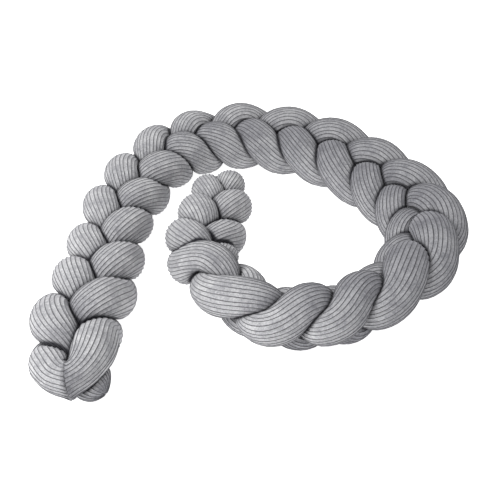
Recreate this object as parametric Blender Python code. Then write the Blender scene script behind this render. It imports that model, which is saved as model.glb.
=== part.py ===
"""Braided crib bumper: three stuffed corduroy tubes in a flat three-strand braid.

The braid lies on its underside in an open spiral loop, +Z up. At end one, strand_c turns
back into strand_b over the tucked-in end of strand_a. At end two, strand_a turns back into
strand_b under the tucked-in end of strand_c. In each turn two tubes meet in a cross seam,
face to face.

Places along the braid are counted in lobes: lobe 1 is the first whole lobe of the outer
row at end one, and lobe 22 is the last one at end two. The origin is the middle of the
bounding box, on the surface that the braid rests on.
"""

import math

import bpy
import numpy as np

MM = 0.001

# ---- Driving dimensions ----------------------------------------------------------------

TUBE_RADIUS = 37 * MM      # a stuffed tube where nothing presses on it
SIDE_SWING = 38 * MM       # how far a strand swings out to each side of the braid
HEIGHT_SWING = 19 * MM     # how far it rises over, and dips under, its neighbours
SIDE_REACH = 0.92          # of a tube's radius, left of it past the side swing
DROP_REACH = 0.82          # the same past the height swing
RIB_DEPTH = 1.8 * MM       # valley between two raised ribs
RIBS_AROUND = 10           # raised ribs round one tube
RING_PITCH = 18 * MM       # between rings of points along a strand
SEAT_GAP = 2.0 * MM        # kept by each strand from the middle of a contact
SEAM_GAP = 0.3 * MM        # between the two faces of a cross seam
SETTLE = 4 * MM            # how far the weight presses the underside flat
END_ROUNDING = 30 * MM     # length over which a closed end is drawn in
END_RINGS = 3              # rings of points over that length
LEAST_RADIUS = 3 * MM      # a strand is never pressed thinner than this
CONTACT_SHARPNESS = 9      # higher makes flatter contacts with sharper creases
REACH = 150 * MM           # neighbours further off than this never touch
BEND_SHARE = 0.7           # of the way to the middle of its own bend that a ring may reach
SAME_BEND = 60 * MM        # stretches closer than this along one tube don't press each other

LOBE_LENGTH = 88 * MM      # along the braid, from one outer lobe to the next
LOBES_PER_CYCLE = 3        # outer lobes that pass while a strand goes once across and back
LEAD_ANGLE = 60            # degrees of that cycle at which a strand shows its outer lobe
WEAVE_STEP = 1 / 12        # of a lobe, between the rows taken from the weave
HEADING_STEP = 0.01        # of a lobe, either side of a place, to find the braid's heading

FACING_STEP = 0.1 * MM     # either side of a ring, to find which way the tube runs there
BEND_STEP = 12 * MM        # either side of a ring, to find how the tube bends there
NEIGHBOUR_STEP = 4 * MM    # between the places on other strands that a ring is held clear of
NO_LIMIT = 1.0             # m, room enough to limit nothing
TINY = 1e-9                # keeps a division off zero

# ---- The route, a row for each lobe of the outer row -------------------------------------
# x and y in mm; lean, the degrees by which the outer edge is raised; girth, the size of
# tube and swings against full size; spread, the side swing against that

ROUTE_COLUMNS = ("lobe", "x", "y", "lean", "girth", "spread")
ROUTE = (
    (-0.6, -246, -335, -4, 0.74, 0.84),
    (1, -261, -212, -3, 0.97, 0.92),
    (2, -248, -126, 0, 0.98, 0.90),
    (3, -245, -43, 0, 0.95, 0.89),
    (4, -239, 60, 4, 0.94, 0.91),
    (5, -216, 149, 8, 0.96, 0.92),
    (6, -173, 245, 8, 0.98, 0.92),
    (7, -108, 297, 8, 0.99, 0.92),
    (8, -18, 319, 8, 1.02, 0.92),
    (9, 77, 299, 12, 1.03, 0.93),
    (10, 162, 252, 17, 1.03, 0.93),
    (11, 231, 178, 22, 1.01, 0.92),
    (12, 279, 106, 30, 1.01, 0.92),
    (13, 306, 30, 36, 1.00, 0.92),
    (14, 292, -48, 45, 0.98, 0.92),
    (15, 240, -124, 55, 0.95, 0.90),
    (16, 160, -180, 60, 0.89, 0.83),
    (17, 84, -197, 56, 0.89, 0.81),
    (18, 3, -178, 47, 0.88, 0.80),
    (19, -62, -90, 43, 0.90, 0.84),
    (20, -85, -47, 30, 0.94, 0.83),
    (21, -68, 33, 12, 0.96, 0.88),
    (22, -57, 106, 0, 0.88, 0.84),
    (23, -66, 166, 0, 0.72, 0.80),
)

# ---- The strands -------------------------------------------------------------------------
# first_lobe is an outer lobe that the strand shows. The braid's own weave holds between
# weave_from and weave_to; before and after it the strand follows its end rows: lobe, and
# side and rise in mm from the middle of the braid, side towards the outer edge. An end
# either joins the same end of another strand in a cross seam, and its outermost row is then
# the other strand's first row past the seam, or it joins nothing and is closed and rounded.

STRANDS = {
    "strand_a": {
        "first_lobe": 1, "weave_from": 0.35, "weave_to": 21.8,
        "start_joins": None, "start_rows": ((-0.44, -18, -12), (-0.24, -16, -15), (0.05, -15, -17)),
        "end_joins": "strand_b", "end_rows": ((21.95, 17, 15), (22.3, 19, 10), (22.6, 20, 0)),
    },
    "strand_b": {
        "first_lobe": 0, "weave_from": 0.35, "weave_to": 22.65,
        "start_joins": "strand_c",
        "start_rows": ((-0.2, -10, 14), (-0.29, 3, 13), (-0.17, 17, 12), (0.13, 25, 9)),
        "end_joins": "strand_a",
        "end_rows": ((22.95, -14, -9), (22.98, 6, -13), (22.85, 17, -9), (22.6, 20, 0), (22.3, 19, 10),
                     (21.95, 17, 15)),
    },
    "strand_c": {
        "first_lobe": 2, "weave_from": 0.92, "weave_to": 21.8,
        "start_joins": "strand_b",
        "start_rows": ((-0.17, 17, 12), (-0.29, 3, 13), (-0.2, -10, 14), (0.1, -25, 15),
                       (0.4, -31, 12), (0.67, -31, 2)),
        "end_joins": None, "end_rows": ((22.08, -14, -13), (22.42, 4, -12)),
    },
}


def smooth_through(rows_at, row_values, at):
    """Cubic curve through rows of values, for one column."""
    slopes = np.gradient(row_values, rows_at)
    row = np.clip(np.searchsorted(rows_at, at, side="right") - 1, 0, len(rows_at) - 2)
    span = rows_at[row + 1] - rows_at[row]
    t = (at - rows_at[row]) / span
    from_value = (2 * t**3 - 3 * t**2 + 1) * row_values[row]
    from_slope = (t**3 - 2 * t**2 + t) * span * slopes[row]
    to_value = (3 * t**2 - 2 * t**3) * row_values[row + 1]
    to_slope = (t**3 - t**2) * span * slopes[row + 1]
    return from_value + from_slope + to_value + to_slope


def route_column(name, lobes):
    """One column of the route at each of the given lobe numbers."""
    table = np.array(ROUTE, dtype=float)
    return smooth_through(table[:, 0], table[:, ROUTE_COLUMNS.index(name)], lobes)


def unit(vectors):
    return vectors / np.linalg.norm(vectors, axis=-1, keepdims=True)


def braid_frame(lobes):
    """Middle of the braid, and its outward and upward directions, at each lobe number."""
    x, y = (route_column(name, lobes) * MM for name in "xy")
    ahead_x, ahead_y = (route_column(name, lobes + HEADING_STEP) * MM for name in "xy")
    back_x, back_y = (route_column(name, lobes - HEADING_STEP) * MM for name in "xy")
    level = np.zeros_like(lobes)
    left = unit(np.stack([back_y - ahead_y, ahead_x - back_x, level], axis=1))
    lean = np.radians(route_column("lean", lobes))[:, None]
    up = np.array([0.0, 0.0, 1.0])
    outward = np.cos(lean) * left + np.sin(lean) * up
    upward = np.cos(lean) * up - np.sin(lean) * left

    girth = route_column("girth", lobes)
    half_width = girth * (SIDE_SWING * route_column("spread", lobes) + SIDE_REACH * TUBE_RADIUS)
    half_height = girth * (HEIGHT_SWING + DROP_REACH * TUBE_RADIUS)
    z = np.hypot(half_width * np.sin(lean[:, 0]), half_height * np.cos(lean[:, 0])) - SETTLE
    return np.stack([x, y, z], axis=1), outward, upward


def weave(first_lobe, lobes):
    """Side and rise of a strand in the regular braid."""
    angle = np.radians(LEAD_ANGLE + 360 / LOBES_PER_CYCLE * (lobes - first_lobe))
    girth = route_column("girth", lobes)
    side = SIDE_SWING * girth * route_column("spread", lobes) * np.sin(angle)
    rise = HEIGHT_SWING * girth * np.sin(2 * angle)
    return side, rise


def strand_rows(spec):
    """Rows of lobe, side and rise along a whole strand, and the run that is its own."""
    weave_lobes = np.arange(spec["weave_from"], spec["weave_to"], WEAVE_STEP)
    side, rise = weave(spec["first_lobe"], weave_lobes)
    before = np.array(spec["start_rows"], dtype=float) * (1, MM, MM)
    after = np.array(spec["end_rows"], dtype=float) * (1, MM, MM)
    rows = np.concatenate([before, np.stack([weave_lobes, side, rise], axis=1), after])
    steps = np.linalg.norm(np.diff(rows * (LOBE_LENGTH, 1, 1), axis=0), axis=1)
    travelled = np.concatenate([[0], np.cumsum(steps)])
    own_from = travelled[1] + SEAM_GAP / 2 if spec["start_joins"] else 0
    own_to = travelled[-2] - SEAM_GAP / 2 if spec["end_joins"] else travelled[-1]
    return rows, travelled, own_from, own_to


def path_at(rows, travelled, at):
    """The strand's centre line, the way up there and the lobe numbers."""
    lobes, side, rise = (smooth_through(travelled, rows[:, i], at) for i in range(3))
    middle, outward, upward = braid_frame(lobes)
    return middle + side[:, None] * outward + rise[:, None] * upward, upward, lobes


def ring_places(spec, own_from, own_to, pitch):
    """Distances along the strand of its rings, closer together where an end is drawn in."""
    turns = np.arange(1, END_RINGS + 1) * math.pi / 2 / (END_RINGS + 1)
    drawn_in = END_ROUNDING * (1 - np.cos(turns))
    parts = []
    run_from, run_to = own_from, own_to
    if not spec["start_joins"]:
        parts.append(own_from + drawn_in)
        run_from = own_from + END_ROUNDING
    if not spec["end_joins"]:
        run_to = own_to - END_ROUNDING
    parts.append(np.linspace(run_from, run_to, int(round((run_to - run_from) / pitch)) + 1))
    if not spec["end_joins"]:
        parts.append(own_to - drawn_in[::-1])
    return np.concatenate(parts)


def end_taper(spec, at, own_from, own_to):
    """Share of its full radius that a ring keeps near a closed end."""
    taper = np.ones_like(at)
    if not spec["start_joins"]:
        taper *= np.sqrt(1 - np.clip(1 - (at - own_from) / END_ROUNDING, 0, 1) ** 2)
    if not spec["end_joins"]:
        taper *= np.sqrt(1 - np.clip(1 - (own_to - at) / END_ROUNDING, 0, 1) ** 2)
    return taper


def room_towards(directions, centre, others):
    """How far a point may lie from the centre, each way, before it is nearer to others."""
    offsets = others - centre
    squared = np.sum(offsets**2, axis=1)
    near = squared < REACH**2
    if not near.any():
        return np.full(len(directions), NO_LIMIT)
    ahead = np.maximum(directions @ offsets[near].T, TINY)
    return np.minimum(squared[near] / (2 * ahead), NO_LIMIT).min(axis=1)


def bend_vectors(rows, travelled, at):
    """Towards the middle of the bend at each place, one over its radius long."""
    here = np.clip(at, travelled[0] + BEND_STEP, travelled[-1] - BEND_STEP)
    back = path_at(rows, travelled, here - BEND_STEP)[0]
    middle = path_at(rows, travelled, here)[0]
    ahead = path_at(rows, travelled, here + BEND_STEP)[0]
    step = np.linalg.norm(ahead - back, axis=1, keepdims=True) / 2
    return (ahead - 2 * middle + back) / step**2


def strand_frame(spec, pitch, points_around):
    """Places, centres, ring directions, free radius and bends along a strand."""
    rows, travelled, own_from, own_to = strand_rows(spec)
    at = ring_places(spec, own_from, own_to, pitch)
    centres, upward, lobes = path_at(rows, travelled, at)
    facing = at.copy()
    if spec["start_joins"]:
        facing[0] = travelled[1]
    if spec["end_joins"]:
        facing[-1] = travelled[-2]
    ahead = path_at(rows, travelled, facing + FACING_STEP)[0]
    back = path_at(rows, travelled, facing - FACING_STEP)[0]
    along = unit(ahead - back)
    top = unit(upward - np.sum(upward * along, axis=1, keepdims=True) * along)
    across = np.cross(along, top)
    angles = np.arange(points_around) * 2 * math.pi / points_around
    directions = (np.cos(angles)[None, :, None] * across[:, None, :]
                  + np.sin(angles)[None, :, None] * top[:, None, :])
    free = TUBE_RADIUS * route_column("girth", lobes) * end_taper(spec, at, own_from, own_to)
    return at, centres, directions, free, bend_vectors(rows, travelled, at)


def distance_along(name, other, at, places):
    """How far places on another strand are from places on this one, along the tubes."""
    spec = STRANDS[name]
    _, _, own_from, own_to = strand_rows(spec)
    _, _, other_from, other_to = strand_rows(STRANDS[other])
    if other == name:
        return np.abs(places - at)
    if other == spec["start_joins"]:
        return (at - own_from) + (places - other_from)
    if other == spec["end_joins"]:
        return (own_to - at) + (other_to - places)
    return np.full(np.broadcast(at, places).shape, REACH)


def strand_rings(name, pitch, points_around):
    """Centre, directions and radii of every ring of a strand, before its ribs."""
    at, centres, directions, free, bends = strand_frame(STRANDS[name], pitch, points_around)
    neighbours = []
    for other, other_spec in STRANDS.items():
        rows, travelled, other_from, other_to = strand_rows(other_spec)
        places = np.arange(other_from, other_to, NEIGHBOUR_STEP)
        path = path_at(rows, travelled, places)[0]
        presses = distance_along(name, other, at[:, None], places) > SAME_BEND
        neighbours.append((path, presses))

    radii = np.empty(directions.shape[:2])
    for i, centre in enumerate(centres):
        others = np.concatenate([path[presses[i]] for path, presses in neighbours])
        room = room_towards(directions[i], centre, others) - SEAT_GAP
        bend_room = BEND_SHARE / np.maximum(directions[i] @ bends[i], BEND_SHARE)
        room = np.maximum(np.minimum(room, bend_room), LEAST_RADIUS)
        sharpness = CONTACT_SHARPNESS
        radii[i] = (free[i] ** -sharpness + room ** -sharpness) ** (-1 / sharpness)
    return centres, directions, radii


def press_on_floor(centres, directions, radii):
    """Shorten each radius that would go below the surface that the braid rests on."""
    down = np.maximum(-directions[:, :, 2], TINY)
    return np.minimum(radii, centres[:, None, 2] / down)


# ---- Building ------------------------------------------------------------------------------

CLOTH_COLOUR = (0.36, 0.36, 0.37, 1.0)   # mid grey, linear
CLOTH_ROUGHNESS = 0.95


def ribbed(radii):
    """Every second point round a ring lies in the valley between two ribs."""
    valleys = np.arange(radii.shape[1]) % 2 == 1
    return np.maximum(radii - RIB_DEPTH * valleys, LEAST_RADIUS)


def strand_points(name):
    """Ring points of a strand, with a point in the middle of each of its end faces."""
    points_around = 2 * RIBS_AROUND
    centres, directions, radii = strand_rings(name, RING_PITCH, points_around)
    radii = press_on_floor(centres, directions, ribbed(radii))
    rings = centres[:, None, :] + radii[:, :, None] * directions
    spec = STRANDS[name]
    rows, travelled, own_from, own_to = strand_rows(spec)
    tips = path_at(rows, travelled, np.array([own_from, own_to]))[0]
    first = centres[0] if spec["start_joins"] else tips[0]
    last = centres[-1] if spec["end_joins"] else tips[1]
    return rings, first, last


def strand_faces(ring_count, points_around):
    """Quads between rings, and a fan of triangles on each end."""
    faces = []
    for ring in range(ring_count - 1):
        for i in range(points_around):
            j = (i + 1) % points_around
            here, ahead = ring * points_around, (ring + 1) * points_around
            faces.append((here + i, ahead + i, ahead + j, here + j))
    first, last = ring_count * points_around, ring_count * points_around + 1
    end_ring = (ring_count - 1) * points_around
    for i in range(points_around):
        j = (i + 1) % points_around
        faces.append((first, i, j))
        faces.append((last, end_ring + j, end_ring + i))
    return faces


def cloth_material(name):
    material = bpy.data.materials.new(name + "_cloth")
    material.use_nodes = True
    shader = material.node_tree.nodes["Principled BSDF"]
    shader.inputs["Base Color"].default_value = CLOTH_COLOUR
    shader.inputs["Roughness"].default_value = CLOTH_ROUGHNESS
    shader.inputs["Metallic"].default_value = 0.0
    return material


def add_strand(name, rings, first, last, origin):
    ring_count, points_around = rings.shape[:2]
    points = np.concatenate([rings.reshape(-1, 3), [first, last]]) - origin
    mesh = bpy.data.meshes.new(name)
    mesh.from_pydata(points.tolist(), [], strand_faces(ring_count, points_around))
    mesh.materials.append(cloth_material(name))
    mesh.shade_smooth()
    strand = bpy.data.objects.new(name, mesh)
    bpy.context.scene.collection.objects.link(strand)
    return strand


def build():
    for old in list(bpy.data.objects):
        bpy.data.objects.remove(old)
    shapes = {name: strand_points(name) for name in STRANDS}
    everything = np.concatenate([rings.reshape(-1, 3) for rings, _, _ in shapes.values()])
    low, high = everything.min(axis=0), everything.max(axis=0)
    origin = np.array([(low[0] + high[0]) / 2, (low[1] + high[1]) / 2, low[2]])
    for name, (rings, first, last) in shapes.items():
        add_strand(name, rings, first, last, origin)


build()
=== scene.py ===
"""The looks of a braided crib bumper: three stuffed corduroy tubes in a flat braid.

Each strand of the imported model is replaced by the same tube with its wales, creases, nap
and seams. Sizes are in metres unless a name or a comment says millimetres.
"""

import math

import bpy
import numpy as np
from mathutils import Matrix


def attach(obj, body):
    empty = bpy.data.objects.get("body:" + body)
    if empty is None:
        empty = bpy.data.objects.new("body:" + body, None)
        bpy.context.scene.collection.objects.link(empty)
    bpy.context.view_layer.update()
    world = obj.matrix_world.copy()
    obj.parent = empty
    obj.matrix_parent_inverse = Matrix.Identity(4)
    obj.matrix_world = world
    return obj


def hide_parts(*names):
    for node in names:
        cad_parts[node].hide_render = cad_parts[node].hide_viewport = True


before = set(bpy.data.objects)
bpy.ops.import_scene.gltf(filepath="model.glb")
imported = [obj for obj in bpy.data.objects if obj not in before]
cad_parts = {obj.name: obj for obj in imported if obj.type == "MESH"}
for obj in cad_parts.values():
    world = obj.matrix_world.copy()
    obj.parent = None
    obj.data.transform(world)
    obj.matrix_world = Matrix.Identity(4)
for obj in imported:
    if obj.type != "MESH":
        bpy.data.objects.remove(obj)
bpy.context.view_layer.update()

# ---- The braid -----------------------------------------------------------------------------
# The bumper is a flat braid of three tubes, laid down in an open spiral loop. Its middle line
# has a point for each lobe of the outer row, and every tube swings to the sides of that line
# and over and under the other two.

MM = 0.001
TUBE_RADIUS = 37 * MM      # a stuffed tube where nothing presses on it
SIDE_SWING = 38 * MM       # how far a strand swings out to each side of the braid
HEIGHT_SWING = 19 * MM     # how far it rises over, and dips under, its neighbours
SIDE_REACH = 0.92          # of a tube's radius, left of it past the side swing
DROP_REACH = 0.82          # the same past the height swing
SETTLE = 4 * MM            # how far the weight presses the underside flat
LOBE_LENGTH = 88 * MM      # along the braid, from one outer lobe to the next
LOBES_PER_CYCLE = 3        # outer lobes that pass while a strand goes once across and back
LEAD_ANGLE = 60            # degrees of that cycle at which a strand shows its outer lobe
WEAVE_STEP = 1 / 12        # of a lobe, between the rows taken from the weave
HEADING_STEP = 0.01        # of a lobe, either side of a place, to find the braid's heading

# x and y in mm; lean, the degrees by which the outer edge is raised; girth, the size of tube
# and swings against full size; spread, the side swing against that
ROUTE_COLUMNS = ("lobe", "x", "y", "lean", "girth", "spread")
ROUTE = (
    (-0.6, -246, -335, -4, 0.74, 0.84),
    (1, -261, -212, -3, 0.97, 0.92),
    (2, -248, -126, 0, 0.98, 0.90),
    (3, -245, -43, 0, 0.95, 0.89),
    (4, -239, 60, 4, 0.94, 0.91),
    (5, -216, 149, 8, 0.96, 0.92),
    (6, -173, 245, 8, 0.98, 0.92),
    (7, -108, 297, 8, 0.99, 0.92),
    (8, -18, 319, 8, 1.02, 0.92),
    (9, 77, 299, 12, 1.03, 0.93),
    (10, 162, 252, 17, 1.03, 0.93),
    (11, 231, 178, 22, 1.01, 0.92),
    (12, 279, 106, 30, 1.01, 0.92),
    (13, 306, 30, 36, 1.00, 0.92),
    (14, 292, -48, 45, 0.98, 0.92),
    (15, 240, -124, 55, 0.95, 0.90),
    (16, 160, -180, 60, 0.89, 0.83),
    (17, 84, -197, 56, 0.89, 0.81),
    (18, 3, -178, 47, 0.88, 0.80),
    (19, -62, -90, 43, 0.90, 0.84),
    (20, -85, -47, 30, 0.94, 0.83),
    (21, -68, 33, 12, 0.96, 0.88),
    (22, -57, 106, 0, 0.88, 0.84),
    (23, -66, 166, 0, 0.72, 0.80),
)
ROUTE_MIDDLE = np.array([22.5, 24.6, 0.0]) * MM   # of the braid's box, where the frame has its zero


def smooth_through(rows_at, row_values, at):
    """Cubic curve through rows of values, for one column."""
    slopes = np.gradient(row_values, rows_at)
    row = np.clip(np.searchsorted(rows_at, at, side="right") - 1, 0, len(rows_at) - 2)
    span = rows_at[row + 1] - rows_at[row]
    t = (at - rows_at[row]) / span
    from_value = (2 * t**3 - 3 * t**2 + 1) * row_values[row]
    from_slope = (t**3 - 2 * t**2 + t) * span * slopes[row]
    to_value = (3 * t**2 - 2 * t**3) * row_values[row + 1]
    to_slope = (t**3 - t**2) * span * slopes[row + 1]
    return from_value + from_slope + to_value + to_slope


def route_column(name, lobes):
    """One column of the route at each of the given lobe numbers."""
    table = np.array(ROUTE, dtype=float)
    return smooth_through(table[:, 0], table[:, ROUTE_COLUMNS.index(name)], lobes)


def unit(vectors):
    """The vectors, each made one long."""
    return vectors / np.linalg.norm(vectors, axis=-1, keepdims=True)


def braid_frame(lobes):
    """Middle of the braid, and its outward and upward directions, at each lobe number."""
    x, y = (route_column(name, lobes) * MM for name in "xy")
    ahead_x, ahead_y = (route_column(name, lobes + HEADING_STEP) * MM for name in "xy")
    back_x, back_y = (route_column(name, lobes - HEADING_STEP) * MM for name in "xy")
    level = np.zeros_like(lobes)
    left = unit(np.stack([back_y - ahead_y, ahead_x - back_x, level], axis=1))
    lean = np.radians(route_column("lean", lobes))[:, None]
    up = np.array([0.0, 0.0, 1.0])
    outward = np.cos(lean) * left + np.sin(lean) * up
    upward = np.cos(lean) * up - np.sin(lean) * left

    girth = route_column("girth", lobes)
    half_width = girth * (SIDE_SWING * route_column("spread", lobes) + SIDE_REACH * TUBE_RADIUS)
    half_height = girth * (HEIGHT_SWING + DROP_REACH * TUBE_RADIUS)
    z = np.hypot(half_width * np.sin(lean[:, 0]), half_height * np.cos(lean[:, 0])) - SETTLE
    return np.stack([x, y, z], axis=1) - ROUTE_MIDDLE, outward, upward


def weave(first_lobe, lobes):
    """Side and rise of a strand in the regular braid."""
    angle = np.radians(LEAD_ANGLE + 360 / LOBES_PER_CYCLE * (lobes - first_lobe))
    girth = route_column("girth", lobes)
    side = SIDE_SWING * girth * route_column("spread", lobes) * np.sin(angle)
    rise = HEIGHT_SWING * girth * np.sin(2 * angle)
    return side, rise


# ---- The strands ---------------------------------------------------------------------------
# Each strand is a tube sewn from grey polyester plush corduroy, its wales running along it,
# stuffed with loose fibre. It is pressed flat where it lies on another strand or the floor.
# At an end it is closed and rounded, or joins the next tube in a cross seam.

# An end's rows are lobe, and side and rise in mm from the middle of the braid. At a cross
# seam the outermost row is the other strand's first row past the seam. wale_shift turns the
# wales round the tube, as a share of one wale. start_gather is the length over which the
# cross seam draws the tube in, and start_shade is painted shade on the cloth tucked into it.
STRANDS = {
    "strand_a": {
        "first_lobe": 1, "weave_from": 0.35, "weave_to": 21.8, "wale_shift": 0.0,
        "start_joins": None, "start_rows": ((-0.36, -42, -24), (-0.24, -31, -18), (0.02, -18, -15)),
        "end_joins": "strand_b", "end_rows": ((21.95, 17, 15), (22.3, 19, 10), (22.6, 20, 0)),
    },
    "strand_b": {
        "first_lobe": 0, "weave_from": 0.35, "weave_to": 22.65, "wale_shift": 0.3,
        "start_joins": "strand_c", "start_shade": 0.0, "start_gather": 45 * MM,
        "start_rows": ((-0.22, -12, 13), (-0.26, -1, 13), (-0.18, 12, 12), (0.1, 24, 10)),
        "end_joins": "strand_a",
        "end_rows": ((22.95, -14, -9), (22.98, 6, -13), (22.85, 17, -9), (22.6, 20, 0), (22.3, 19, 10),
                     (21.95, 17, 15)),
    },
    "strand_c": {
        "first_lobe": 2, "weave_from": 0.92, "weave_to": 21.8, "wale_shift": 0.15,
        "start_joins": "strand_b", "start_shade": 0.05, "start_gather": 30 * MM,
        "start_rows": ((-0.18, 12, 12), (-0.26, -1, 13), (-0.22, -12, 13), (-0.06, -24, 13),
                       (0.18, -32, 13), (0.45, -35, 11), (0.7, -33, 1)),
        "end_joins": None, "end_rows": ((22.08, -14, -13), (22.42, 4, -12)),
    },
}

SEAM_GAP = 0.3 * MM        # between the two faces of a cross seam
SEAT_GAP = 0.35 * MM       # kept by each strand from the middle of a contact
END_ROUNDING = 30 * MM     # length over which a closed end is drawn in
END_RINGS = 10             # rings of points over that length
LEAST_RADIUS = 3 * MM      # a strand is never pressed thinner than this
CONTACT_SHARPNESS = 9      # higher makes flatter contacts with sharper creases
REACH = 150 * MM           # neighbours further off than this never touch
BEND_SHARE = 0.7           # of the way to the middle of its own bend that a ring may reach
SAME_BEND = 60 * MM        # stretches closer than this along one tube don't press each other
RING_PITCH = 5.8 * MM      # between rings of points along a strand
OUTLINE_POINTS = 96        # round a ring, to find its outline before the wales are laid on it
FACING_STEP = 0.1 * MM     # either side of a ring, to find which way the tube runs there
BEND_STEP = 12 * MM        # either side of a ring, to find how the tube bends there
NEIGHBOUR_STEP = 4 * MM    # between the places on other strands that a ring is held clear of
NO_LIMIT = 1.0             # m, room enough to limit nothing
TINY = 1e-9                # keeps a division off zero

WALES = 26                 # round one tube, about 8 mm apart
WALE_HEIGHT = 1.5 * MM     # from the groove between two wales to their crests
WALE_STOPS = (0.0, 0.08, 0.2, 0.38, 0.62, 0.8, 0.92)   # points across a wale
WALE_WANDER = 0.13         # of a wale, by which a groove strays to one side
WANDER_LENGTH = 60 * MM    # of one such stray
WANDER_SPREAD = (0.6, 2.0)  # shortest and longest stray, against that
WANDER_WAVES = 3           # that are laid over each other
LUMP_DEPTH = 0.035         # of the tube's radius, by which uneven stuffing swells or sinks it
LUMP_LENGTH = 70 * MM      # of one such lump
LUMP_SPREAD = (0.7, 2.5)   # shortest and longest wave of the stuffing, against that
LUMP_WAVES = 14            # that are laid over each other
LUMP_TURNS = 4             # a wave swells fewer times than this round the tube
STITCH_DEPTH = 2.2 * MM    # by which the sewing draws the cloth in at a cross seam
STITCH_WIDTH = 3.5 * MM    # of that dip, each side of the seam
# Painted shade beside a cross seam, where the pile turns the other way.
SHADE_WIDTH = 14 * MM      # of the darker nap beside a seam that turns the pile the other way
GATHER_SHARE = 0.10        # of its radius by which sewing draws a tube in, less with each start_gather
EASING_PASSES = 5          # each draws every ring a little towards its neighbours, so wales run smoothly


def strand_rows(spec):
    """Rows of lobe, side and rise along a whole strand, and the run that is its own."""
    weave_lobes = np.arange(spec["weave_from"], spec["weave_to"], WEAVE_STEP)
    side, rise = weave(spec["first_lobe"], weave_lobes)
    before = np.array(spec["start_rows"], dtype=float) * (1, MM, MM)
    after = np.array(spec["end_rows"], dtype=float) * (1, MM, MM)
    rows = np.concatenate([before, np.stack([weave_lobes, side, rise], axis=1), after])
    steps = np.linalg.norm(np.diff(rows * (LOBE_LENGTH, 1, 1), axis=0), axis=1)
    travelled = np.concatenate([[0], np.cumsum(steps)])
    own_from = travelled[1] + SEAM_GAP / 2 if spec["start_joins"] else 0
    own_to = travelled[-2] - SEAM_GAP / 2 if spec["end_joins"] else travelled[-1]
    return rows, travelled, own_from, own_to


def path_at(rows, travelled, at):
    """The strand's centre line, the way up there and the lobe numbers."""
    lobes, side, rise = (smooth_through(travelled, rows[:, i], at) for i in range(3))
    middle, outward, upward = braid_frame(lobes)
    return middle + side[:, None] * outward + rise[:, None] * upward, upward, lobes


def ring_places(spec, own_from, own_to):
    """Distances along the strand of its rings, closer together where an end is drawn in."""
    turns = np.arange(1, END_RINGS + 1) * math.pi / 2 / (END_RINGS + 1)
    drawn_in = END_ROUNDING * (1 - np.cos(turns))
    parts = []
    run_from, run_to = own_from, own_to
    if not spec["start_joins"]:
        parts.append(own_from + drawn_in)
        run_from = own_from + END_ROUNDING
    if not spec["end_joins"]:
        run_to = own_to - END_ROUNDING
    parts.append(np.linspace(run_from, run_to, int(round((run_to - run_from) / RING_PITCH)) + 1))
    if not spec["end_joins"]:
        parts.append(own_to - drawn_in[::-1])
    return np.concatenate(parts)


def end_taper(spec, at, own_from, own_to):
    """Share of its full radius that a ring keeps near a closed end."""
    taper = np.ones_like(at)
    if not spec["start_joins"]:
        taper *= np.sqrt(1 - np.clip(1 - (at - own_from) / END_ROUNDING, 0, 1) ** 2)
    if not spec["end_joins"]:
        taper *= np.sqrt(1 - np.clip(1 - (own_to - at) / END_ROUNDING, 0, 1) ** 2)
    return taper


def lumps(at, angles, seed):
    """Smooth, uneven swelling round and along a tube, between about -1 and 1."""
    rng = np.random.default_rng(seed)
    swelling = np.zeros((len(at), len(angles)))
    for _ in range(LUMP_WAVES):
        turns = rng.integers(0, LUMP_TURNS)
        wave_length = LUMP_LENGTH * rng.uniform(*LUMP_SPREAD)
        phase, lead = rng.uniform(0, 2 * math.pi, 2)
        swelling += np.sin(2 * math.pi * at[:, None] / wave_length + phase) * np.cos(turns * angles + lead)
    return swelling / math.sqrt(LUMP_WAVES)


def wale_stops():
    """Places round a tube at which its points lie, counted in wales."""
    return (np.arange(WALES)[:, None] + np.array(WALE_STOPS)).ravel()


def wander(at, seed):
    """How far each groove strays to one side along a strand, as a share of a wale."""
    rng = np.random.default_rng([seed, WALES])
    strays = np.zeros((len(at), WALES))
    for _ in range(WANDER_WAVES):
        wave_length = WANDER_LENGTH * rng.uniform(*WANDER_SPREAD, WALES)
        phase = rng.uniform(0, 2 * math.pi, WALES)
        strays += np.sin(2 * math.pi * at[:, None] / wave_length + phase)
    return WALE_WANDER * strays / math.sqrt(WANDER_WAVES)


def room_towards(directions, centre, others):
    """How far a point may lie from the centre, each way, before it is nearer to others."""
    offsets = others - centre
    squared = np.sum(offsets**2, axis=1)
    near = squared < REACH**2
    if not near.any():
        return np.full(len(directions), NO_LIMIT)
    ahead = np.maximum(directions @ offsets[near].T, TINY)
    return np.minimum(squared[near] / (2 * ahead), NO_LIMIT).min(axis=1)


def bend_vectors(rows, travelled, at):
    """Towards the middle of the bend at each place, one over its radius long."""
    here = np.clip(at, travelled[0] + BEND_STEP, travelled[-1] - BEND_STEP)
    back = path_at(rows, travelled, here - BEND_STEP)[0]
    middle = path_at(rows, travelled, here)[0]
    ahead = path_at(rows, travelled, here + BEND_STEP)[0]
    step = np.linalg.norm(ahead - back, axis=1, keepdims=True) / 2
    return (ahead - 2 * middle + back) / step**2


def distance_along(name, other, at, places):
    """How far places on another strand are from places on this one, along the tubes."""
    spec = STRANDS[name]
    _, _, own_from, own_to = strand_rows(spec)
    _, _, other_from, other_to = strand_rows(STRANDS[other])
    if other == name:
        return np.abs(places - at)
    if other == spec["start_joins"]:
        return (at - own_from) + (places - other_from)
    if other == spec["end_joins"]:
        return (own_to - at) + (other_to - places)
    return np.full(np.broadcast(at, places).shape, REACH)


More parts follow.
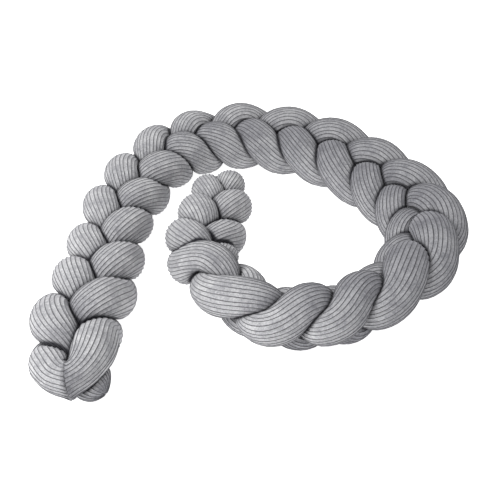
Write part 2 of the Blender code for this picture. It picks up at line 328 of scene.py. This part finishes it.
def strand_outline(name, seed):
    """Places along a strand, with the centre, axes, free radii and pressed radii of each ring."""
    spec = STRANDS[name]
    rows, travelled, own_from, own_to = strand_rows(spec)
    at = ring_places(spec, own_from, own_to)
    centres, upward, lobes = path_at(rows, travelled, at)
    facing = at.copy()
    if spec["start_joins"]:
        facing[0] = travelled[1]
    if spec["end_joins"]:
        facing[-1] = travelled[-2]
    ahead = path_at(rows, travelled, facing + FACING_STEP)[0]
    back = path_at(rows, travelled, facing - FACING_STEP)[0]
    along = unit(ahead - back)
    top = unit(upward - np.sum(upward * along, axis=1, keepdims=True) * along)
    across = np.cross(along, top)

    angles = np.arange(OUTLINE_POINTS) * 2 * math.pi / OUTLINE_POINTS
    directions = (np.cos(angles)[None, :, None] * across[:, None, :]
                  + np.sin(angles)[None, :, None] * top[:, None, :])
    free = TUBE_RADIUS * route_column("girth", lobes) * end_taper(spec, at, own_from, own_to)
    if spec["start_joins"]:
        free *= 1 - GATHER_SHARE * np.exp(-((at - own_from) / spec["start_gather"]) ** 2)
    free = free[:, None] * (1 + LUMP_DEPTH * lumps(at, angles, seed))

    neighbours = []
    for other, other_spec in STRANDS.items():
        other_rows, other_travelled, other_from, other_to = strand_rows(other_spec)
        places = np.arange(other_from, other_to, NEIGHBOUR_STEP)
        path = path_at(other_rows, other_travelled, places)[0]
        presses = distance_along(name, other, at[:, None], places) > SAME_BEND
        neighbours.append((path, presses))

    bends = bend_vectors(rows, travelled, at)
    radii = np.empty(directions.shape[:2])
    for i, centre in enumerate(centres):
        others = np.concatenate([path[presses[i]] for path, presses in neighbours])
        room = room_towards(directions[i], centre, others) - SEAT_GAP
        bend_room = BEND_SHARE / np.maximum(directions[i] @ bends[i], BEND_SHARE)
        room = np.maximum(np.minimum(room, bend_room), LEAST_RADIUS)
        radii[i] = (free[i] ** -CONTACT_SHARPNESS + room ** -CONTACT_SHARPNESS) ** (-1 / CONTACT_SHARPNESS)
    return at, centres, across, top, free, radii


def wale_angles(radii, wale_places):
    """Angles round a ring at which the wales lie, so that they are evenly wide on the cloth."""
    angles = np.arange(OUTLINE_POINTS + 1) * 2 * math.pi / OUTLINE_POINTS
    outline = np.append(radii, radii[0])
    x, y = outline * np.cos(angles), outline * np.sin(angles)
    run = np.concatenate([[0], np.cumsum(np.hypot(np.diff(x), np.diff(y)))])
    share = run / run[-1]
    share -= np.mean(share - angles / (2 * math.pi))
    laps = np.concatenate([share[:-1] - 1, share[:-1], share[:-1] + 1, [share[-1] + 1]])
    turned = np.concatenate([angles[:-1] - 2 * math.pi, angles[:-1], angles[:-1] + 2 * math.pi,
                             [angles[-1] + 2 * math.pi]])
    return np.interp(wale_places, laps, turned)


def outward_normals(points):
    """Normal of the surface through rings of points, at each point."""
    round_ring = np.roll(points, -1, axis=1) - np.roll(points, 1, axis=1)
    along = np.gradient(points, axis=0)
    normals = np.cross(round_ring, along)
    return normals / np.maximum(np.linalg.norm(normals, axis=2, keepdims=True), TINY)


def strand_points(name, seed):
    """Each ring's distance along a strand and its centre, its points, and how far each is pressed in."""
    at, centres, across, top, free, radii = strand_outline(name, seed)
    stops = wale_stops()
    wale, within = stops.astype(int), stops % 1
    strays = wander(at, seed)
    strays = (1 - within) * strays[:, wale] + within * np.roll(strays, -1, axis=1)[:, wale]
    wale_places = (stops + STRANDS[name]["wale_shift"] + strays) / WALES
    base = np.empty((len(at), len(stops), 3))
    pressed = np.empty((len(at), len(stops)))
    outline_angles = np.arange(OUTLINE_POINTS) * 2 * math.pi / OUTLINE_POINTS
    for i in range(len(at)):
        angles = wale_angles(radii[i], wale_places[i])
        pressed[i] = 1 - np.interp(angles, outline_angles, radii[i] / free[i], period=2 * math.pi)
        reach = np.interp(angles, outline_angles, radii[i], period=2 * math.pi)
        base[i] = (centres[i] + (reach * np.cos(angles))[:, None] * across[i]
                   + (reach * np.sin(angles))[:, None] * top[i])

    for _ in range(EASING_PASSES):
        base[1:-1] = (base[:-2] + 2 * base[1:-1] + base[2:]) / 4

    from_groove = 1 - np.abs(1 - 2 * within)
    crown = np.sqrt(1 - (1 - from_groove) ** 2)
    sunk = WALE_HEIGHT * (1 - crown)[None, :] * np.ones((len(at), 1))
    spec = STRANDS[name]
    if spec["start_joins"]:
        sunk += STITCH_DEPTH * np.exp(-((at - at[0]) / STITCH_WIDTH) ** 2)[:, None]
    if spec["end_joins"]:
        sunk += STITCH_DEPTH * np.exp(-((at - at[-1]) / STITCH_WIDTH) ** 2)[:, None]
    points = base - sunk[:, :, None] * outward_normals(base)
    points[:, :, 2] = np.maximum(points[:, :, 2], 0)
    # Painted shade on the cloth beside the cross seam, added to the weight of the painted crease shade.
    if spec["start_joins"]:
        pressed += spec["start_shade"] * np.exp(-((at - at[0]) / SHADE_WIDTH) ** 2)[:, None]
    return at, centres, points, pressed


def add_strand(name, seed, material):
    """A strand's mesh, with u round the tube and v along it, both from 0 to 1."""
    at, centres, rings, pressed = strand_points(name, seed)
    ring_count, around = rings.shape[:2]
    points = np.concatenate([rings.reshape(-1, 3), centres[:1], centres[-1:]])
    ring, i = np.meshgrid(np.arange(ring_count - 1), np.arange(around), indexing="ij")
    j = (i + 1) % around
    quads = np.stack([ring * around + i, (ring + 1) * around + i, (ring + 1) * around + j,
                      ring * around + j], axis=-1).reshape(-1, 4)
    first, last, end_ring = ring_count * around, ring_count * around + 1, (ring_count - 1) * around
    k = np.arange(around)
    start_fan = np.stack([np.full(around, first), k, (k + 1) % around], axis=1)
    end_fan = np.stack([np.full(around, last), end_ring + (k + 1) % around, end_ring + k], axis=1)

    mesh = bpy.data.meshes.new(name + "_cloth")
    mesh.from_pydata(points.tolist(), [], quads.tolist() + start_fan.tolist() + end_fan.tolist())
    mesh.shade_smooth()

    stops = wale_stops() / WALES
    u_from, u_to = stops, np.append(stops[1:], 1.0)
    v = (at - at[0]) / (at[-1] - at[0])
    quad_u = np.stack([u_from[i], u_from[i], u_to[i], u_to[i]], axis=-1).reshape(-1)
    quad_v = np.stack([v[ring], v[ring + 1], v[ring + 1], v[ring]], axis=-1).reshape(-1)
    fan_middle = (u_from + u_to) / 2
    start_u = np.stack([fan_middle, u_from, u_to], axis=1).reshape(-1)
    end_u = np.stack([fan_middle, u_to, u_from], axis=1).reshape(-1)
    uv = mesh.uv_layers.new(name="cloth")
    u_all = np.concatenate([quad_u, start_u, end_u])
    v_all = np.concatenate([quad_v, np.zeros(3 * around), np.ones(3 * around)])
    uv.data.foreach_set("uv", np.stack([u_all, v_all], axis=1).ravel())

    # How far each point is pressed in, with the painted seam shade added; it weighs the painted shade in
    # creases.
    crease_shade = mesh.attributes.new("pressed", "FLOAT", "POINT")
    crease_shade.data.foreach_set("value", np.append(pressed.ravel(), [0.0, 0.0]))

    mesh.materials.append(material)
    strand = bpy.data.objects.new(name + "_cloth", mesh)
    bpy.context.scene.collection.objects.link(strand)
    return strand


def from_hex(colour):
    """Linear red, green, blue and alpha of an sRGB hex colour."""
    channels = np.array([int(colour[i:i + 2], 16) / 255 for i in (1, 3, 5)])
    linear = np.where(channels <= 0.04045, channels / 12.92, ((channels + 0.055) / 1.055) ** 2.4)
    return (*linear.tolist(), 1.0)


def add_node(material, kind, settings=None, **inputs):
    """A shader node with its settings, and its inputs as values or as other nodes' outputs."""
    node = material.node_tree.nodes.new("ShaderNode" + kind)
    for setting, value in (settings or {}).items():
        setattr(node, setting, value)
    for name, value in inputs.items():
        socket = node.inputs[int(name[1:])] if name[1:].isdigit() else node.inputs[name.replace("_", " ")]
        if isinstance(value, bpy.types.NodeSocket):
            material.node_tree.links.new(value, socket)
        else:
            socket.default_value = value
    return node


# Polyester plush corduroy: cut pile in rounded wales, with the bare ground cloth as a dark
# line between them, drawn darker still with painted shade in the groove. The pile scatters
# light, so it is matt with a pale sheen at its edges.
# It all leans one way along the tube; where it leans towards the eye, painted shade darkens its
# colour in place of the lesser light that leaning pile sends back. Patches are lighter or darker
# where it has been brushed. Where the cloth is pressed into a crease, painted shade darkens it.

WALE_COLOUR = "#cececf"
BRUSHED_COLOUR = "#929296"
# The bare ground cloth between the wales, drawn darker still with painted shade for the groove.
GROUND_CLOTH_AND_GROOVE_SHADE_COLOUR = "#303034"
SHEEN_COLOUR = "#e4e4ea"
# Painted shade: the pile's colour is multiplied by this where it leans towards the eye.
AGAINST_PILE_SHADE_COLOUR = "#c0c0c4"   # that it is multiplied by where the pile leans towards the eye
# Painted shade in creases and beside a cross seam: the cloth's colour is multiplied by this there.
CREASE_SHADE_COLOUR = "#5c5c62"  # that the cloth's own colour is multiplied by in a crease
GROOVE_SHARE = 0.17        # of a wale's width, each side of the line between two wales
PATCH_SIZE = 22            # mm, of the brushed patches
TUFT_SIZE = 4.0            # mm, of the tufts of pile
FIBRE_SIZE = 1.4           # mm, drawn coarser than the real pile so that it shows
BRUSHED_RANGE = (1.15, 1.85)      # of the three patterns' sum, from unbrushed to brushed
COVER_RANGE = (0.4, 0.7)          # of the patch pattern, over which pile closes over a groove
COVER_MOST = 0.55                 # of a groove's darkness, hidden where it closes most
CREASE_SHADE_RANGE = (0.03, 0.13)       # of a tube's radius pressed in, from open cloth to a crease
LEAN_MOST = 0.8                   # of full lean, away from or towards the eye, with full effect
BUMP_STRENGTH = 0.35              # of the tufts and of the fibres
TUFT_HEIGHT = 0.6 * MM
FIBRE_HEIGHT = 0.3 * MM


def plush_corduroy(name, seed):
    """The cloth's material. The seed shifts its patches, so that no two strands are alike."""
    material = bpy.data.materials.new(name)
    material.use_nodes = True
    material.node_tree.nodes.clear()

    place = add_node(material, "TexCoord")
    cloth = add_node(material, "UVMap", {"uv_map": "cloth"})
    split = add_node(material, "SeparateXYZ", Vector=cloth.outputs["UV"])
    wales = add_node(material, "Math", {"operation": "MULTIPLY"}, _0=split.outputs["X"], _1=WALES)
    across = add_node(material, "Math", {"operation": "PINGPONG"}, _0=wales.outputs[0], _1=0.5)
    crest = add_node(material, "MapRange", {"interpolation_type": "SMOOTHSTEP"}, Value=across.outputs[0],
                     From_Min=0.0, From_Max=GROOVE_SHARE, To_Min=0.0, To_Max=1.0)

    shifted = add_node(material, "Mapping", Vector=place.outputs["Object"], Location=(seed, 0, 0))
    patches = add_node(material, "TexNoise", Vector=shifted.outputs["Vector"],
                       Scale=1 / (PATCH_SIZE * MM), Detail=2.0, Roughness=0.5)
    tufts = add_node(material, "TexNoise", Vector=shifted.outputs["Vector"],
                     Scale=1 / (TUFT_SIZE * MM), Detail=2.0, Roughness=0.6)
    fibres = add_node(material, "TexNoise", Vector=shifted.outputs["Vector"],
                      Scale=1 / (FIBRE_SIZE * MM), Detail=1.0, Roughness=0.5)
    fine = add_node(material, "Math", {"operation": "ADD"}, _0=tufts.outputs["Fac"], _1=fibres.outputs["Fac"])
    mottle = add_node(material, "Math", {"operation": "ADD"}, _0=patches.outputs["Fac"], _1=fine.outputs[0])
    brushed = add_node(material, "MapRange", Value=mottle.outputs[0],
                       From_Min=BRUSHED_RANGE[0], From_Max=BRUSHED_RANGE[1], To_Min=0.0, To_Max=1.0)
    grown_over = add_node(material, "MapRange", Value=patches.outputs["Fac"],
                          From_Min=COVER_RANGE[0], From_Max=COVER_RANGE[1], To_Min=0.0, To_Max=COVER_MOST)
    groove_cover = add_node(material, "Math", {"operation": "MAXIMUM"}, _0=crest.outputs[0],
                            _1=grown_over.outputs[0])

    pile = add_node(material, "Mix", {"data_type": "RGBA"}, _0=brushed.outputs[0],
                    _6=from_hex(WALE_COLOUR), _7=from_hex(BRUSHED_COLOUR))
    # The grooves take the ground cloth's colour with painted shade; pile grown over a groove hides some of
    # it.
    cloth_colour = add_node(material, "Mix", {"data_type": "RGBA"}, _0=groove_cover.outputs[0],
                            _6=from_hex(GROUND_CLOTH_AND_GROOVE_SHADE_COLOUR), _7=pile.outputs[2])
    # Painted shade in creases: the colour darkens where the tube is pressed in against a neighbour or the
    # floor, and beside a cross seam.
    pressed = add_node(material, "Attribute", {"attribute_name": "pressed"})
    crease_shade = add_node(material, "MapRange", {"interpolation_type": "SMOOTHSTEP"},
                      Value=pressed.outputs["Fac"], From_Min=CREASE_SHADE_RANGE[0], From_Max=CREASE_SHADE_RANGE[1],
                      To_Min=0.0, To_Max=1.0)
    # Painted shade where the pile leans towards the eye, found from the way the surface faces the eye.
    round_tube = add_node(material, "Tangent", {"direction_type": "UV_MAP", "uv_map": "cloth"})
    surface = add_node(material, "NewGeometry")
    lay = add_node(material, "VectorMath", {"operation": "CROSS_PRODUCT"}, _0=round_tube.outputs["Tangent"],
                   _1=surface.outputs["Normal"])
    lay_to_eye = add_node(material, "VectorMath", {"operation": "DOT_PRODUCT"}, _0=lay.outputs["Vector"],
                          _1=surface.outputs["Incoming"])
    against_pile_shade = add_node(material, "MapRange", Value=lay_to_eye.outputs["Value"],
                            From_Min=-LEAN_MOST, From_Max=LEAN_MOST, To_Min=0.0, To_Max=1.0)
    lay_shaded = add_node(material, "Mix", {"data_type": "RGBA", "blend_type": "MULTIPLY"},
                    _0=against_pile_shade.outputs[0], _6=cloth_colour.outputs[2], _7=from_hex(AGAINST_PILE_SHADE_COLOUR))
    colour = add_node(material, "Mix", {"data_type": "RGBA", "blend_type": "MULTIPLY"}, _0=crease_shade.outputs[0],
                      _6=lay_shaded.outputs[2], _7=from_hex(CREASE_SHADE_COLOUR))

    pile_bump = add_node(material, "Bump", Height=tufts.outputs["Fac"], Strength=BUMP_STRENGTH,
                         Distance=TUFT_HEIGHT)
    fibre_bump = add_node(material, "Bump", Height=fibres.outputs["Fac"], Strength=BUMP_STRENGTH,
                          Distance=FIBRE_HEIGHT, Normal=pile_bump.outputs["Normal"])
    shader = add_node(material, "BsdfPrincipled", Base_Color=colour.outputs[2], Roughness=0.95,
                      Specular_IOR_Level=0.15, Sheen_Weight=0.5, Sheen_Roughness=0.45,
                      Sheen_Tint=from_hex(SHEEN_COLOUR), Normal=fibre_bump.outputs["Normal"])
    add_node(material, "OutputMaterial", Surface=shader.outputs["BSDF"])
    return material


for seed, name in enumerate(STRANDS, start=1):
    strand = add_strand(name, seed, plush_corduroy("plush_corduroy_" + name, seed))
    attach(strand, "root")
    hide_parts(name)

# ---- The floor -----------------------------------------------------------------------------
# A wide white floor that glows of its own, so that it stays as plain and pale as studio paper
# and takes only faint shadows. It glows less on the cloth than it does to the eye, or the
# undersides would be lit too brightly.

FLOOR_SIZE = 12.0
FLOOR_COLOUR = "#fbfbfb"
FLOOR_DROP = 0.5 * MM      # below the cloth, so that the two faces don't meet
GLOW_ON_CLOTH = 0.5
GLOW_TO_EYE = 0.9

bpy.ops.object.select_all(action="DESELECT")
bpy.ops.mesh.primitive_plane_add(size=FLOOR_SIZE, location=(0, 0, -FLOOR_DROP))
floor = bpy.context.object
floor.name = "floor"
bpy.ops.object.transform_apply(location=True, rotation=True, scale=True)
paper = bpy.data.materials.new("studio_paper")
paper.use_nodes = True
paper.node_tree.nodes.clear()
seen = add_node(paper, "LightPath")
glow = add_node(paper, "MapRange", Value=seen.outputs["Is Camera Ray"],
                To_Min=GLOW_ON_CLOTH, To_Max=GLOW_TO_EYE)
paper_shader = add_node(paper, "BsdfPrincipled", Base_Color=from_hex(FLOOR_COLOUR), Roughness=1.0,
                        Specular_IOR_Level=0.0, Emission_Color=from_hex(FLOOR_COLOUR),
                        Emission_Strength=glow.outputs[0])
add_node(paper, "OutputMaterial", Surface=paper_shader.outputs["BSDF"])
floor.data.materials.append(paper)

# ---- The light -----------------------------------------------------------------------------
# A large softbox at the upper left and a little in front, and an even pale room all round.

SOFTBOX_PLACE = np.array([-0.9, -0.6, 1.4])
SOFTBOX_WIDTH = 1.0
SOFTBOX_POWER = 23         # watts
ROOM_STRENGTH = 0.6

light = bpy.data.lights.new("softbox_left", "AREA")
light.size = SOFTBOX_WIDTH
light.energy = SOFTBOX_POWER
softbox = bpy.data.objects.new("softbox_left", light)
softbox.location = SOFTBOX_PLACE
tilt = math.acos(SOFTBOX_PLACE[2] / np.linalg.norm(SOFTBOX_PLACE))
softbox.rotation_euler = (tilt, 0, math.atan2(SOFTBOX_PLACE[1], SOFTBOX_PLACE[0]) + math.pi / 2)
bpy.context.scene.collection.objects.link(softbox)

room = bpy.data.worlds.new("pale_room")
room.use_nodes = True
room.node_tree.nodes["Background"].inputs["Color"].default_value = (1, 1, 1, 1)
room.node_tree.nodes["Background"].inputs["Strength"].default_value = ROOM_STRENGTH
bpy.context.scene.world = room

# ---- The camera ----------------------------------------------------------------------------
# It stands in front of the loop, looks 42 degrees down and takes in about 43 degrees.

CAMERA_PLACE = np.array([0.0, -850.0, 775.0]) * MM - ROUTE_MIDDLE
CAMERA_TILT = 48                 # degrees up from straight down
FOCAL_PIXELS = 640               # focal length, in pixels of a 500 pixel wide picture
PICTURE_PIXELS = 500
SENSOR_WIDTH = 36                # mm

camera = bpy.data.objects.new("camera", bpy.data.cameras.new("camera"))
camera.location = CAMERA_PLACE
camera.rotation_euler = (math.radians(CAMERA_TILT), 0, 0)
camera.data.sensor_width = SENSOR_WIDTH
camera.data.lens = SENSOR_WIDTH * FOCAL_PIXELS / PICTURE_PIXELS
bpy.context.scene.collection.objects.link(camera)
bpy.context.scene.camera = camera
bpy.context.scene.view_settings.view_transform = "Standard"
